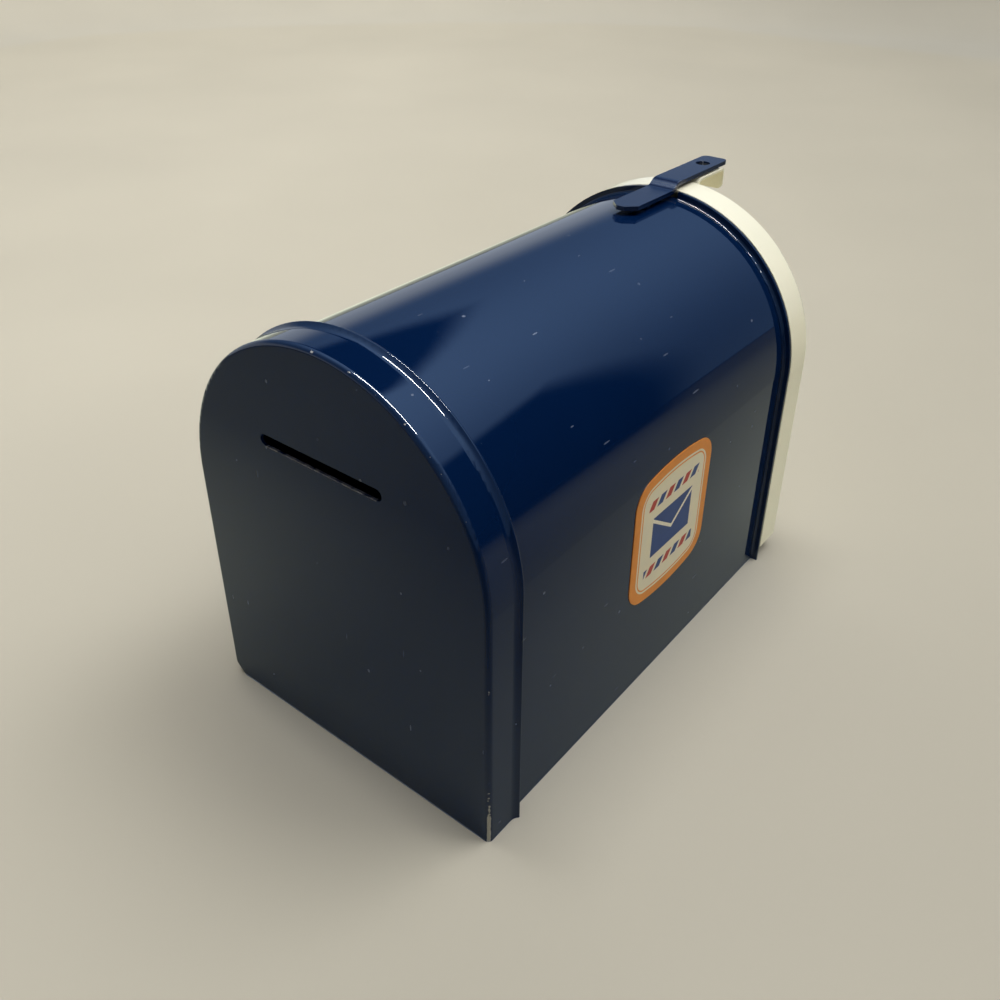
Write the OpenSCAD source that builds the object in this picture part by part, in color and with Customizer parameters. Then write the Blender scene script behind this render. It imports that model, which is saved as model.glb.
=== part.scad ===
// Mailbox coin bank in pressed steel, in millimetres.
// The body is an arched tube with an outward flange at its open front. A pan with the coin slot
// caps the rear, a tray makes the floor, and a cream door with its own rim swings down on a rod.
// A hasp strap on the roof reaches over the door's pull, and one padlock hole runs through both.
// +Y points to the rear panel, +Z is up, and the origin is the centre of the underside.

/* [Body] */
// Outside width of the rear cap, over its fold
cap_w = 88.8; // [80:0.1:96]
// Height of the roof's arch centre above the table
arch_z = 65.1; // [56:0.1:74]
// Length from the rear panel to the face of the front flange
shell_len = 133.4; // [118:0.1:150]
// Thickness of the blue sheet
sheet_t = 0.7; // [0.5:0.05:0.9]
// Gap between the body tube and the flange of the rear cap round it
cap_gap = 0.8; // [0.5:0.05:1.2]
// How far the front flange stands out of the body tube
lip_w = 2; // [1.8:0.1:3]
// Radius of the hollow bend behind the front flange
lip_bend = 0.8; // [0.5:0.1:1.6]
// Gap between the rear end of the body tube and the rear panel
tube_gap = 0.3; // [0.2:0.05:0.6]

/* [Rear cap] */
// Depth of the rear cap over the body
cap_depth = 10; // [7:0.1:14]
// Outside radius of the fold round the rear panel
cap_fold = 1.3; // [1:0.05:2]
// Length of the curve by which the edge of the cap's flange flares out
flare_len = 1.8; // [1:0.1:2.5]
// How far that curve stands out of the flange
flare_out = 0.8; // [0.3:0.05:1]
// Size of the clipped lower corner on the flag side
corner_clip = 4; // [2:0.1:6]
// Length of the coin slot
slot_len = 36.4; // [30:0.1:42]
// Height of the coin slot's gap
slot_w = 2.9; // [2.2:0.1:4]
// Height of the coin slot above the arch centre
slot_rise = 17.6; // [12:0.1:22]
// Sideways offset of the coin slot
slot_shift = 0.9; // [-2:0.1:2]

/* [Floor] */
// Height of the turned-up sides of the floor tray
tray_h = 7; // [5:0.1:10]
// Outside radius of the floor tray's bends
tray_bend = 1.4; // [1:0.1:2]
// Gap between the floor tray and the walls that it sits in
tray_gap = 0.1; // [0.05:0.05:0.3]
// Height of the sills beside the hinge
sill_h = 4.8; // [4:0.1:6]

/* [Door] */
// Thickness of the cream sheet
door_t = 0.6; // [0.5:0.05:0.8]
// How far the door's rim stands outside the body tube
door_over = 2.05; // [1.7:0.05:2.3]
// Depth of the door from its face to the edge of its rim
door_depth = 10.8; // [8:0.1:13]
// Gap between the door's rim and the front flange
door_gap = 0.4; // [0.3:0.05:0.8]
// Outside radius of the fold round the door's face
door_fold = 1.4; // [1:0.05:2]
// Gap between the door's foot and the hinge loops under it
foot_gap = 0.65; // [0.4:0.05:1.5]

/* [Door pull] */
// Width of the pull
pull_w = 9.2; // [8.4:0.1:12]
// Reach of the pull in front of the door's face
pull_reach = 15.9; // [14:0.1:20]
// Length of the pull's leg on the door's face
pull_leg = 8; // [6:0.1:12]
// Height of the finger lip at the pull's front
pull_lip = 6.3; // [4:0.1:9]
// Outside radius of the pull's shoulder over the door
pull_shoulder = 2.5; // [1.5:0.1:3]
// Outside radius of the bend above the finger lip
pull_bend = 1.4; // [1:0.1:2]
// How far the pull's top stands above the rim
pull_rise = 0.45; // [0.3:0.05:1]
// Radius of the finger lip's lower corners
pull_corner = 1.8; // [1:0.1:2.5]

/* [Hasp] */
// Width of the hasp strap
strap_w = 8; // [6.5:0.1:9]
// Thickness of the hasp strap
strap_t = 1.2; // [0.9:0.05:1.5]
// Length of the pad over the roof
pad_len = 20.1; // [11:0.1:22]
// Height of the weld boss that holds the pad off the roof
pad_lift = 1.2; // [0.4:0.1:1.6]
// Diameter of the weld boss under the pad
boss_d = 6; // [4:0.1:7]
// Distance from the front flange's face back to where the strap steps up
joggle_back = 3; // [2:0.1:3.5]
// Length of the strap's step, which is two equal bends
joggle_len = 5; // [4:0.1:6]
// Gap between the strap and the pull under it
strap_gap = 0.55; // [0.4:0.05:1]
// How far the strap ends in front of the pull
strap_over = 3; // [0.5:0.1:4]
// Size of the clipped corners at the pad's rear end
strap_clip = 2.8; // [1:0.1:3]
// Radius of the corners at the strap's front end
tip_r = 1.8; // [1:0.1:3]
// Layer of paint between the weld boss and the roof
seat_gap = 0.05; // [0.02:0.01:0.1]
// Diameter of the padlock hole
hole_d = 4.2; // [3:0.1:5]
// Distance from the pull's front back to the padlock hole
hole_back = 5.3; // [4.5:0.1:7]
// Space beside the strap in the notch of the front flange
notch_gap = 0.8; // [0.4:0.1:1.5]

/* [Hinge] */
// Diameter of the hinge rod
rod_d = 2.4; // [1.8:0.1:3]
// Running clearance between the rod and its loops
rod_fit = 0.05; // [0.03:0.01:0.1]
// Width of the row of hinge loops
hinge_w = 70; // [50:1:74]
// Number of hinge loops, the outer ones on the floor
loop_count = 5; // [3:2:7]
// Gap between neighbouring loops
loop_gap = 0.35; // [0.25:0.05:0.6]
// Diameter of the rod's two upset ends
rod_head_d = 3.4; // [3.2:0.1:3.8]
// Length of the rod's upset ends
rod_head_t = 0.9; // [0.5:0.1:1.5]

/* [Flag] */
// Thickness of the flag
flag_t = 0.8; // [0.6:0.05:1.2]
// Length from the pivot to the end of the blade
flag_len = 58; // [45:0.5:64]
// Width of the flag's arm
arm_w = 6; // [4.5:0.1:8]
// Length of the blade
blade_len = 22; // [16:0.5:28]
// Height of the blade, with the arm
blade_h = 17; // [12:0.5:22]
// Radius of the blade's corners
blade_corner = 2; // [1:0.1:2.2]
// Distance from the front flange's face back to the pivot
pivot_back = 17; // [14:0.1:24]
// Height of the pivot above the table
pivot_z = 50; // [40:0.5:55]
// Diameter of the rivet's shank
rivet_d = 3; // [2.4:0.1:4]
// Diameter of the rivet's head
rivet_head_d = 6.4; // [5.4:0.1:8]
// Height of the rivet's domed head
rivet_head_h = 1.4; // [1:0.1:2]
// Diameter of the rivet's spread end inside the body
rivet_tail_d = 4.6; // [4.5:0.1:5.5]
// Height of the rivet's spread end
rivet_tail_h = 0.7; // [0.5:0.1:1.2]
// Diameter of the two washers
washer_d = 7.4; // [6:0.1:9]
// Thickness of the two washers
washer_t = 0.5; // [0.4:0.05:0.8]
// Running gap on each side of the flag
flag_gap = 0.05; // [0.03:0.01:0.1]

/* [Label] */
// Length of the label along the body
label_w = 36.4; // [28:0.1:42]
// Height of the label in its middle
label_h = 39.2; // [30:0.1:40]
// Radius of the label's corners
label_corner = 7; // [4:0.1:9]
// Radius of the curve of the label's upper and lower edges
label_bow = 67; // [50:1:150]
// Thickness of the label
label_t = 0.2; // [0.15:0.05:0.4]
// Distance from the rear panel to the middle of the label
label_from_rear = 74.5; // [60:0.1:80]
// Height of the label's middle above the table
label_z = 46.9; // [35:0.1:47]

/* [Hidden] */
$fn = 96;
eps = 0.01;
blue = "#142c6b";
cream = "#efead2";
steel = "#b9babb";
red = "#b3202a";
orange = "#e58a34";

// Planes and radii that several pieces share, worked out from the sizes above
rear_y = shell_len / 2;
front_y = -shell_len / 2;
cap_r = cap_w / 2;
body_r = cap_r - sheet_t - cap_gap;
inner_r = body_r - sheet_t;
lip_r = body_r + lip_w;
roof_z = arch_z + body_r;
door_r = body_r + door_over;
rim_y = front_y - door_gap;
face_y = rim_y - door_depth;
rim_top = arch_z + door_r;
pull_top = rim_top + pull_rise;
pull_front = face_y - pull_reach;
strap_under = pull_top + strap_gap;
strap_front = pull_front - strap_over;
hole_y = pull_front + hole_back;
bore_r = rod_d / 2 + rod_fit;
floor_loop_r = bore_r + sheet_t;
door_loop_r = bore_r + door_t;
hinge_y = face_y + door_t / 2;
hinge_z = floor_loop_r + rod_fit;
door_foot = hinge_z + floor_loop_r + foot_gap;
tray_r = inner_r - tray_gap;
tray_rear = rear_y - sheet_t - tray_gap;
pivot_y = front_y + pivot_back;
flag_x = body_r + washer_t + flag_gap;
flare_r = (pow(flare_len, 2) + pow(flare_out, 2)) / (2 * flare_out);
flare_turn = 2 * atan2(flare_out, flare_len);

// Half and quarter rounds that meet their neighbours edge to edge
module quarter_disc(r) {
    intersection() {
        circle(r);
        square(r);
    }
}

module quarter_ring(r_out, r_in) {
    difference() {
        quarter_disc(r_out);
        circle(r_in);
    }
}

module half_disc(r) {
    intersection() {
        circle(r);
        translate([-r, 0]) square([2 * r, r]);
    }
}

module rounded_plate(w, h, r) {
    translate([-w / 2 + r, -h / 2]) square([w - 2 * r, h]);
    for (side = [-1, 1])
        translate([side * (w - r) / 2 - r / 2, -h / 2 + r]) square([r, h - 2 * r]);
    for (mx = [0, 1], mz = [0, 1])
        mirror([mx, 0]) mirror([0, mz]) translate([w / 2 - r, h / 2 - r]) quarter_disc(r);
}

// The bank's arched outline, standing in x and z, with its legs cut off at the height foot
module arch_face(r, foot) {
    translate([0, arch_z]) half_disc(r);
    translate([-r, foot]) square([2 * r, arch_z - foot]);
}

module arch_plate(r, foot, y, t) {
    translate([0, y, 0]) rotate([90, 0, 0]) linear_extrude(t) arch_face(r, foot);
}

// Carries a section round the arch and down both legs. The section's x is the distance from the
// arch centre, and its y is the distance forward from the rear panel.
module arch_sweep(foot) {
    translate([0, rear_y, 0]) {
        translate([0, 0, arch_z]) rotate([90, 0, 0]) rotate_extrude(angle = 180) children();
        for (side = [0, 1])
            mirror([side, 0, 0]) translate([0, 0, foot])
                linear_extrude(arch_z - foot) mirror([0, 1]) children();
    }
}

// Places a section of y and z across the bank, w wide and centred
module across(w) {
    rotate([90, 0, 90]) translate([0, 0, -w / 2]) linear_extrude(w) children();
}

// An L section with its outside corner at the origin, len along the first leg and rise up the second
module bent_edge(len, rise, r, t) {
    translate([r, 0]) square([len - r, t]);
    translate([0, r]) square([t, rise - r]);
    translate([r, r]) rotate(180) quarter_ring(r, r - t);
}

module tray_edge() {
    bent_edge(2 * tray_bend, tray_h, tray_bend, sheet_t);
}

module body_section() {
    tube_start = sheet_t + tube_gap;
    tube_end = shell_len - sheet_t - lip_bend;
    translate([inner_r, tube_start]) square([sheet_t, tube_end - tube_start]);
    translate([body_r + lip_bend, tube_end]) rotate(90) quarter_ring(lip_bend + sheet_t, lip_bend);
    translate([body_r + lip_bend, shell_len - sheet_t]) square([lip_w - lip_bend, sheet_t]);
}

// The front flange is notched over the roof, so that the strap can step up through it
module strap_notch() {
    notch_w = strap_w + 2 * notch_gap;
    depth = sheet_t + lip_bend + 1;
    translate([0, front_y + depth, arch_z]) rotate([90, 0, 0]) linear_extrude(depth + 1)
        difference() {
            translate([-notch_w / 2, body_r / 2]) square([notch_w, body_r / 2 + 2 * lip_w]);
            circle(body_r + seat_gap);
        }
}

module body_shell() {
    color(blue) difference() {
        arch_sweep(0) body_section();
        strap_notch();
        translate([inner_r - 1, pivot_y, pivot_z]) rotate([0, 90, 0])
            cylinder(d = rivet_d + 2 * flag_gap, h = sheet_t + 2);
    }
}

// The flare is an arc of the sheet, hollow on the outside, with a round edge
module cap_flare() {
    mid_r = flare_r + sheet_t / 2;
    reach = flare_r + sheet_t + 1;
    intersection() {
        difference() {
            circle(flare_r + sheet_t);
            circle(flare_r);
        }
        polygon([[0, 0], [-reach, 0], [-reach, reach * tan(flare_turn)]]);
    }
    translate([-mid_r * cos(flare_turn), mid_r * sin(flare_turn)])
        rotate(-flare_turn) half_disc(sheet_t / 2);
}

module cap_section() {
    flare_start = cap_depth - flare_len - sheet_t / 2;
    translate([cap_r - cap_fold, cap_fold]) rotate(-90) quarter_ring(cap_fold, cap_fold - sheet_t);
    translate([cap_r - sheet_t, cap_fold]) square([sheet_t, flare_start - cap_fold]);
    translate([cap_r + flare_r, flare_start]) cap_flare();
}

module coin_slot() {
    end_r = slot_w / 2;
    translate([slot_shift, rear_y + 1, arch_z + slot_rise]) rotate([90, 0, 0])
        linear_extrude(sheet_t + 2) {
            square([slot_len - slot_w, slot_w], center = true);
            for (side = [-1, 1])
                translate([side * (slot_len / 2 - end_r), 0]) rotate(-side * 90) half_disc(end_r);
        }
}

module clipped_corner() {
    reach = flare_out + 1;
    translate([cap_r, rear_y + 1, 0]) rotate([90, 0, 0]) linear_extrude(cap_depth + 2)
        polygon([[-corner_clip, 0], [reach, corner_clip + reach], [reach, -1], [-corner_clip, -1]]);
}

module rear_cap() {
    color(blue) difference() {
        union() {
            arch_sweep(0) cap_section();
            arch_plate(cap_r - cap_fold, 0, rear_y, sheet_t);
        }
        coin_slot();
        clipped_corner();
    }
}

// One hinge loop, a rolled end of sheet round the rod, on a tail of sheet
module floor_loop(w) {
    across(w) difference() {
        union() {
            translate([hinge_y, hinge_z]) circle(floor_loop_r);
            translate([hinge_y, 0]) square([front_y + tray_bend - hinge_y, sheet_t]);
        }
        translate([hinge_y, hinge_z]) circle(bore_r);
    }
}

module door_loop(w) {
    across(w) difference() {
        union() {
            translate([hinge_y, hinge_z]) circle(door_loop_r);
            translate([face_y, hinge_z]) square([door_t, door_foot - hinge_z]);
        }
        translate([hinge_y, hinge_z]) circle(bore_r);
    }
}

// Loops share the hinge's width evenly, and every second one belongs to the door
function loop_pitch() = hinge_w / loop_count;
function loop_x(i) = (i - (loop_count - 1) / 2) * loop_pitch();

module floor_tray() {
    flat_w = 2 * (tray_r - tray_bend);
    flat_len = tray_rear - tray_bend - front_y;
    sill_start = hinge_w / 2 + 2 * loop_gap;
    sill_w = flat_w / 2 - sill_start;
    tongue_y = hinge_y + door_loop_r + foot_gap;
    color(blue) {
        translate([-flat_w / 2, front_y, 0]) cube([flat_w, flat_len, sheet_t]);
        for (side = [0, 1])
            mirror([side, 0, 0]) translate([-tray_r, tray_rear - tray_bend, 0])
                rotate([90, 0, 0]) linear_extrude(flat_len) tray_edge();
        across(flat_w) translate([tray_rear, 0]) mirror([1, 0]) tray_edge();
        for (side = [-1, 1])
            translate([side * (sill_start + sill_w / 2), 0, 0])
                across(sill_w) translate([front_y, 0]) square([sheet_t, sill_h]);
        translate([-hinge_w / 2, tongue_y, 0]) cube([hinge_w, front_y + tray_bend - tongue_y, sheet_t]);
        for (i = [0 : 2 : loop_count - 1])
            translate([loop_x(i), 0, 0]) floor_loop(loop_pitch() - loop_gap);
    }
}

// The strap from above, with its round front end and clipped rear end
module strap_plan(rear_end) {
    half_w = strap_w / 2;
    straight = strap_front + tip_r;
    polygon([[-half_w, straight], [half_w, straight], [half_w, rear_end - strap_clip],
             [half_w - strap_clip, rear_end], [-half_w + strap_clip, rear_end],
             [-half_w, rear_end - strap_clip]]);
    translate([-half_w + tip_r, strap_front]) square([strap_w - 2 * tip_r, tip_r]);
    for (side = [0, 1])
        mirror([side, 0]) translate([half_w - tip_r, straight]) rotate(-90) quarter_disc(tip_r);
}

// One bend of the strap's section, from straight over its centre through an angle towards the rear,
// and a hair further, so that the step's two bends overlap
module strap_bend(mid_r, turn) {
    reach = 2 * (mid_r + strap_t);
    intersection() {
        difference() {
            circle(mid_r + strap_t / 2);
            circle(mid_r - strap_t / 2);
        }
        polygon([[0, 0], [0, reach], [reach * tan(turn + eps), reach]]);
    }
}

// The strap's section in y and z: the pad, the step of two bends, and the reach over the pull
module strap_section(step_y, pad_z) {
    turn = 2 * atan2(strap_under - pad_z, joggle_len);
    mid_r = joggle_len / (2 * sin(turn));
    step_front = step_y - joggle_len;
    translate([step_y, pad_z]) square([pad_len, strap_t]);
    translate([step_y, pad_z + strap_t / 2 + mid_r]) rotate(180) strap_bend(mid_r, turn);
    translate([step_front, strap_under + strap_t / 2 - mid_r]) strap_bend(mid_r, turn);
    translate([strap_front, strap_under]) square([step_front - strap_front, strap_t]);
}

module hasp_strap() {
    seat_z = roof_z + seat_gap;
    pad_z = seat_z + pad_lift;
    step_y = front_y + joggle_back;
    color(blue) {
        difference() {
            intersection() {
                across(strap_w) strap_section(step_y, pad_z);
                translate([0, 0, pad_z - 1]) linear_extrude(strap_under + strap_t - pad_z + 2)
                    strap_plan(step_y + pad_len);
            }
            translate([0, hole_y, strap_under - 1]) cylinder(d = hole_d, h = strap_t + 2);
        }
        translate([0, step_y + pad_len / 2, seat_z]) cylinder(d = boss_d, h = pad_lift + strap_t / 2);
    }
}

module hinge_rod() {
    half = hinge_w / 2 + loop_gap;
    color(steel) translate([0, hinge_y, hinge_z]) rotate([0, 90, 0]) {
        translate([0, 0, -half]) cylinder(d = rod_d, h = 2 * half);
        for (side = [0, 1])
            mirror([0, 0, side]) translate([0, 0, half]) cylinder(d = rod_head_d, h = rod_head_t);
    }
}

module door_section() {
    rim_start = shell_len + door_gap;
    face_at = rim_start + door_depth;
    translate([door_r - door_t, rim_start]) square([door_t, door_depth - door_fold]);
    translate([door_r - door_fold, face_at - door_fold]) quarter_ring(door_fold, door_fold - door_t);
}

module door_pan() {
    color(cream) {
        arch_sweep(door_foot) door_section();
        arch_plate(door_r - door_fold, door_foot, face_y + door_t, door_t);
        for (i = [1 : 2 : loop_count - 2])
            translate([loop_x(i), 0, 0]) door_loop(loop_pitch() - loop_gap);
    }
}

// The pull's section in distance from the door's face and height below its own top
module pull_section() {
    leg_end = -(pull_rise + door_fold + pull_leg);
    translate([0, leg_end]) square([door_t, -pull_shoulder - leg_end]);
    translate([pull_shoulder, -pull_shoulder]) rotate(90)
        quarter_ring(pull_shoulder, pull_shoulder - door_t);
    translate([pull_shoulder, -door_t])
        square([pull_reach - pull_bend - pull_shoulder, door_t]);
    translate([pull_reach - pull_bend, -pull_bend]) quarter_ring(pull_bend, pull_bend - door_t);
    translate([pull_reach - door_t, -pull_lip]) square([door_t, pull_lip - pull_bend]);
}

module door_pull() {
    lip_end = pull_top - pull_lip;
    color(cream) difference() {
        across(pull_w) translate([face_y, pull_top]) mirror([1, 0]) pull_section();
        translate([0, hole_y, pull_top - door_t - 1]) cylinder(d = hole_d, h = door_t + 2);
        for (side = [0, 1])
            mirror([side, 0, 0]) translate([pull_w / 2 - pull_corner, pull_front - 1, lip_end + pull_corner])
                rotate([-90, 0, 0]) linear_extrude(door_t + 2) difference() {
                    square(pull_corner + 1);
                    circle(pull_corner);
                }
    }
}

// One quarter of the label: a straight side, a round corner, and half of the curved edge, which
// runs into the corner without a kink
module label_quarter() {
    corner_x = label_w / 2 - label_corner;
    bow_z = label_h / 2 - label_bow;
    corner_z = bow_z + sqrt(pow(label_bow - label_corner, 2) - pow(corner_x, 2));
    turn = atan2(corner_z - bow_z, corner_x);
    reach = 2 * label_corner;
    square([corner_x, corner_z]);
    translate([corner_x, 0]) square([label_corner, corner_z]);
    translate([corner_x, corner_z]) intersection() {
        circle(label_corner);
        polygon([[0, 0], [reach, 0], [reach, reach], [reach * cos(turn), reach * sin(turn)]]);
    }
    intersection() {
        translate([0, bow_z]) circle(label_bow);
        polygon([[0, corner_z], [corner_x, corner_z],
                 [corner_x + reach * cos(turn), corner_z + reach * sin(turn)],
                 [0, corner_z + reach]]);
    }
}

module side_label() {
    color(orange) translate([-body_r - label_t, rear_y - label_from_rear, label_z])
        rotate([90, 0, 90]) linear_extrude(label_t)
            for (my = [0, 1], mz = [0, 1]) mirror([my, 0]) mirror([0, mz]) label_quarter();
}

// Lowered, the flag lies along the side towards the rear. It turns up round the rivet.
module signal_flag() {
    boss_r = arm_w / 2 + 1;
    blade_z = blade_h / 2 - arm_w / 2;
    color(red) translate([flag_x, pivot_y, pivot_z]) rotate([90, 0, 90]) linear_extrude(flag_t)
        difference() {
            union() {
                circle(boss_r);
                translate([0, -arm_w / 2]) square([flag_len - blade_len + blade_corner, arm_w]);
                translate([flag_len - blade_len / 2, blade_z])
                    rounded_plate(blade_len, blade_h, blade_corner);
            }
            circle(rivet_d / 2 + flag_gap);
        }
}

module flag_rivet() {
    head_x = flag_x + flag_t + flag_gap;
    tail_x = inner_r - washer_t - rivet_tail_h;
    dome_r = (pow(rivet_head_d / 2, 2) + pow(rivet_head_h, 2)) / (2 * rivet_head_h);
    color(steel) translate([0, pivot_y, pivot_z]) rotate([0, 90, 0]) {
        translate([0, 0, tail_x]) cylinder(d = rivet_tail_d, h = rivet_tail_h);
        translate([0, 0, tail_x]) cylinder(d = rivet_d, h = head_x - tail_x + eps);
        translate([0, 0, head_x]) rotate_extrude() intersection() {
            translate([0, rivet_head_h - dome_r]) circle(dome_r);
            square([rivet_head_d, rivet_head_h * 2]);
        }
    }
}

module washer(x) {
    color(steel) translate([x, pivot_y, pivot_z]) rotate([0, 90, 0]) difference() {
        cylinder(d = washer_d, h = washer_t);
        translate([0, 0, -1]) cylinder(d = rivet_d + 2 * flag_gap, h = washer_t + 2);
    }
}

module flag_washer() {
    washer(body_r);
}

module flag_backing_washer() {
    washer(inner_r - washer_t);
}

body_shell();
rear_cap();
floor_tray();
hasp_strap();
hinge_rod();
door_pan();
door_pull();
side_label();
signal_flag();
flag_rivet();
flag_washer();
flag_backing_washer();
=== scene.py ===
"""Looks for the mailbox coin bank: baked enamel, plated steel, a printed sticker, and a plain studio."""

import math

import bmesh
import bpy
from mathutils import Matrix, Vector


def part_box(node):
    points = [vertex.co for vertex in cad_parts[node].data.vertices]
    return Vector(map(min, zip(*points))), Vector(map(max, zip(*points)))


bl_info = {
    "name": "Mailbox Coin Bank Looks",
    "version": (1, 0, 0),
    "blender": (4, 5, 0),
    "location": "View3D > Sidebar > Coin Bank",
    "description": "Finishes, studio and camera for a mailbox coin bank of pressed steel",
    "category": "Object",
}

MM = 0.001

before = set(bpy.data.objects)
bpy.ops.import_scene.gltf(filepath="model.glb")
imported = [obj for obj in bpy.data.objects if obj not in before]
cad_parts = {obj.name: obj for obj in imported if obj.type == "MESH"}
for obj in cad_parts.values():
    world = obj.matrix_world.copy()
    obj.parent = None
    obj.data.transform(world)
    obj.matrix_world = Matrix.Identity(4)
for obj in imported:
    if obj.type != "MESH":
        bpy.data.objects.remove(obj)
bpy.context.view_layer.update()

# The arch centre follows from the door, whose half width is also its radius over that centre
DOOR_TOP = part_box("door_pan")[1]
ARCH_Z_MM = (DOOR_TOP.z - DOOR_TOP.x) / MM
BODY_RADIUS_MM = 43.0
REAR_Y_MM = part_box("rear_cap")[1].y / MM
LABEL_LOW, LABEL_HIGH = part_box("side_label")
LABEL_MID = (LABEL_LOW + LABEL_HIGH) / 2

# The rear panel's fold, where its edge at this radius from the arch centre meets the rear plane
FOLD_RADIUS_MM = 43.65

# The lower lip of the coin slot: its height above the arch centre, its middle and half its length
LIP_RISE_MM = 16.08
LIP_MIDDLE_MM = 0.9
LIP_HALF_MM = 16.6

# The sticker: its corners, and the curve of its upper and lower sides
LABEL_CORNER_MM = 7.0
LABEL_BOW_MM = 67.0

# Refraction of hard enamel, a vinyl face and paper
ENAMEL_IOR = 1.52
VINYL_IOR = 1.47
PAPER_IOR = 1.4

# How round the paper's turned-up edge is, in metres and steps
PAPER_BEND = 0.25
PAPER_BEND_STEPS = 12
PAPER_SIDES = 96


def linear(hex_code):
    """Turns an sRGB hex value into the linear colour that shaders take."""
    def channel(text):
        value = int(text, 16) / 255
        return value / 12.92 if value <= 0.04045 else ((value + 0.055) / 1.055) ** 2.4

    return tuple(channel(hex_code[i : i + 2]) for i in (1, 3, 5))


def add_node(tree, kind, settings=None, inputs=None):
    """Adds a node with its settings, and sets each input or links it where the value is a socket."""
    node = tree.nodes.new(kind)
    for name, value in (settings or {}).items():
        setattr(node, name, value)
    for key, value in (inputs or {}).items():
        if isinstance(value, bpy.types.NodeSocket):
            tree.links.new(value, node.inputs[key])
        else:
            node.inputs[key].default_value = value
    return node


def new_material(name):
    """Starts a material with an empty node tree, and gives back both."""
    material = bpy.data.materials.new(name)
    material.use_nodes = True
    material.node_tree.nodes.clear()
    return material, material.node_tree


def millimetres(tree):
    """The object's own coordinates in millimetres, as one vector and as its three parts."""
    place = add_node(tree, "ShaderNodeTexCoord")
    scaled = add_node(tree, "ShaderNodeVectorMath", {"operation": "SCALE"},
                      {0: place.outputs["Object"], "Scale": 1 / MM})
    parts = add_node(tree, "ShaderNodeSeparateXYZ", None, {0: scaled.outputs[0]})
    return scaled.outputs[0], parts.outputs


def dress(nodes, material):
    """Gives CAD nodes the material in every slot they have."""
    for name in nodes:
        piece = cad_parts[name]
        if not piece.material_slots:
            raise RuntimeError(f"{name} has no material slot")
        for slot in piece.material_slots:
            slot.material = material


def soften_edges(nodes, width_mm, limit_deg=40):
    """Rounds the edges of flat pieces as their paint does."""
    for name in nodes:
        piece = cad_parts[name]
        weld = piece.modifiers.new("join split corners", "WELD")
        weld.merge_threshold = 0.002 * MM
        bevel = piece.modifiers.new("paint on edges", "BEVEL")
        bevel.width = width_mm * MM
        bevel.segments = 3
        bevel.limit_method = "ANGLE"
        bevel.angle_limit = math.radians(limit_deg)
        bevel.harden_normals = False
        normals = piece.modifiers.new("even shading", "WEIGHTED_NORMAL")
        normals.keep_sharp = False


def unrolled(tree, part):
    """Coordinates that run along the sheet: round the arch and down the legs, and along the bank.

    On the faces that look along the bank they are across and up instead.
    """
    rise = add_node(tree, "ShaderNodeMath", {"operation": "SUBTRACT"}, {0: part["Z"], 1: ARCH_Z_MM})
    above = add_node(tree, "ShaderNodeMath", {"operation": "MAXIMUM"}, {0: rise.outputs[0], 1: 0.0})
    drop = add_node(tree, "ShaderNodeMath", {"operation": "MINIMUM"}, {0: rise.outputs[0], 1: 0.0})
    turn = add_node(tree, "ShaderNodeMath", {"operation": "ARCTAN2"}, {0: part["X"], 1: above.outputs[0]})
    arc = add_node(tree, "ShaderNodeMath", {"operation": "MULTIPLY"}, {0: turn.outputs[0], 1: BODY_RADIUS_MM})
    side = add_node(tree, "ShaderNodeMath", {"operation": "SIGN"}, {0: part["X"]})
    leg = add_node(tree, "ShaderNodeMath", {"operation": "MULTIPLY"},
                   {0: side.outputs[0], 1: drop.outputs[0]})
    along = add_node(tree, "ShaderNodeMath", {"operation": "SUBTRACT"},
                     {0: arc.outputs[0], 1: leg.outputs[0]})
    wrapped = add_node(tree, "ShaderNodeCombineXYZ", None, {"X": along.outputs[0], "Y": part["Y"]})
    flat = add_node(tree, "ShaderNodeCombineXYZ", None, {"X": part["X"], "Y": part["Z"]})
    place = add_node(tree, "ShaderNodeTexCoord")
    facing = add_node(tree, "ShaderNodeSeparateXYZ", None, {0: place.outputs["Normal"]})
    amount = add_node(tree, "ShaderNodeMath", {"operation": "ABSOLUTE"}, {0: facing.outputs["Y"]})
    flatter = add_node(tree, "ShaderNodeMath", {"operation": "GREATER_THAN"},
                       {0: amount.outputs[0], 1: 0.7})
    chosen = add_node(tree, "ShaderNodeMix", {"data_type": "VECTOR"},
                      {0: flatter.outputs[0], 4: wrapped.outputs[0], 5: flat.outputs[0]})
    return chosen.outputs[1], above.outputs[0]


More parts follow.
